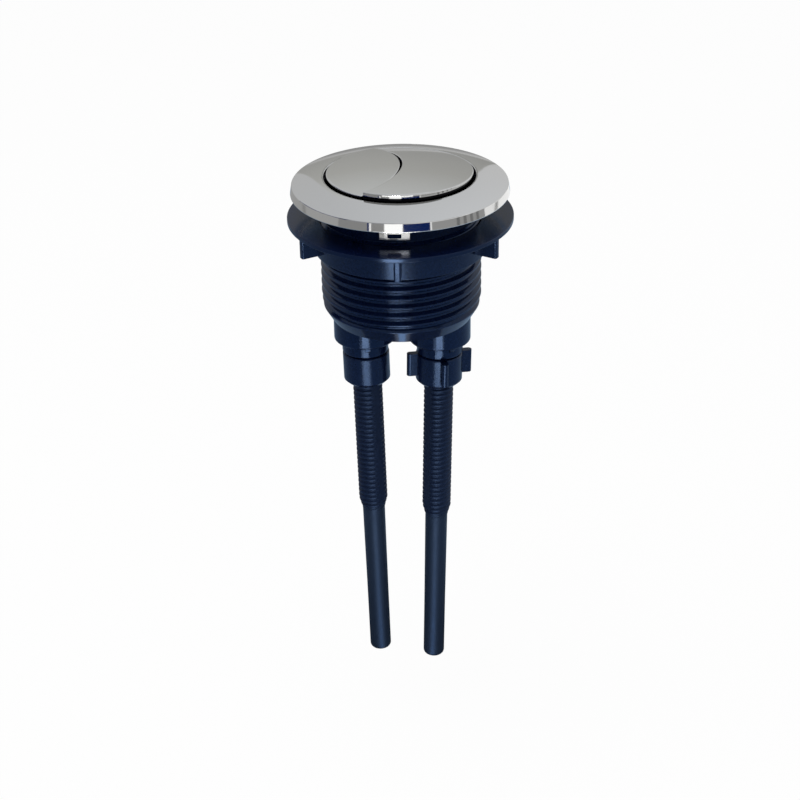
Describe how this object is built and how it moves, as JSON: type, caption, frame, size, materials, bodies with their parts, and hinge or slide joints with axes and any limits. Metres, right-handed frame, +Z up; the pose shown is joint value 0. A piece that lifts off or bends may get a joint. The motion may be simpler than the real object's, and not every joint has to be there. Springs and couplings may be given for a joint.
{
  "type": "push button cistern actuator",
  "caption": "Round dual-flush push button for a cistern lid: chrome bezel and caps on a threaded barrel, clamped by a flanged ring nut, with adjustable push rods below.",
  "frame": {"origin": "middle of the bezel's underside, where it rests on the cistern lid", "axes": "+Z up along the barrel, +X towards the full flush rod, -Y towards the user"},
  "size_m": [0.0602, 0.0602, 0.1569],
  "materials": {
    "chrome": "bright plated plastic",
    "black_plastic": "moulded, satin",
    "spring_steel": "drawn wire"
  },
  "bodies": {
    "barrel": {"bezel_ring": "chrome", "barrel_housing": "black_plastic", "half_flush_spring": "spring_steel", "full_flush_spring": "spring_steel"},
    "ring_nut": {"ring_nut": "black_plastic"},
    "half_flush_button": {"half_flush_cap": "chrome", "half_flush_plunger": "black_plastic"},
    "half_flush_rod": {"half_flush_rod": "black_plastic"},
    "half_flush_lock_nut": {"half_flush_lock_nut": "black_plastic"},
    "full_flush_button": {"full_flush_cap": "chrome", "full_flush_plunger": "black_plastic"},
    "full_flush_rod": {"full_flush_rod": "black_plastic"},
    "full_flush_lock_nut": {"full_flush_lock_nut": "black_plastic"}
  },
  "joints": [
    {"name": "ring_nut_turn", "type": "hinge", "parent": "barrel", "child": "ring_nut", "pos_m": [0, 0, -0.011], "axis": [0, 0, 1], "continuous": true},
    {"name": "half_flush_press", "type": "slide", "parent": "barrel", "child": "half_flush_button", "axis": [0, 0, -1], "range_m": [0, 0.007], "stiffness_N_per_m": 150, "springref_m": -0.012, "deforming": ["half_flush_spring"]},
    {"name": "half_flush_rod_adjust", "type": "slide", "parent": "half_flush_button", "child": "half_flush_rod", "axis": [0.0209, 0, -0.9998], "range_m": [-0.02, 0.01]},
    {"name": "half_flush_lock_nut_turn", "type": "hinge", "parent": "half_flush_button", "child": "half_flush_lock_nut", "pos_m": [-0.01007, 0, -0.0517], "axis": [0.0209, 0, -0.9998], "continuous": true},
    {"name": "full_flush_press", "type": "slide", "parent": "barrel", "child": "full_flush_button", "axis": [0, 0, -1], "range_m": [0, 0.007], "stiffness_N_per_m": 150, "springref_m": -0.012, "deforming": ["full_flush_spring"]},
    {"name": "full_flush_rod_adjust", "type": "slide", "parent": "full_flush_button", "child": "full_flush_rod", "axis": [-0.0209, 0, -0.9998], "range_m": [-0.02, 0.01]},
    {"name": "full_flush_lock_nut_turn", "type": "hinge", "parent": "full_flush_button", "child": "full_flush_lock_nut", "pos_m": [0.01007, 0, -0.0517], "axis": [-0.0209, 0, -0.9998], "continuous": true}
  ]
}
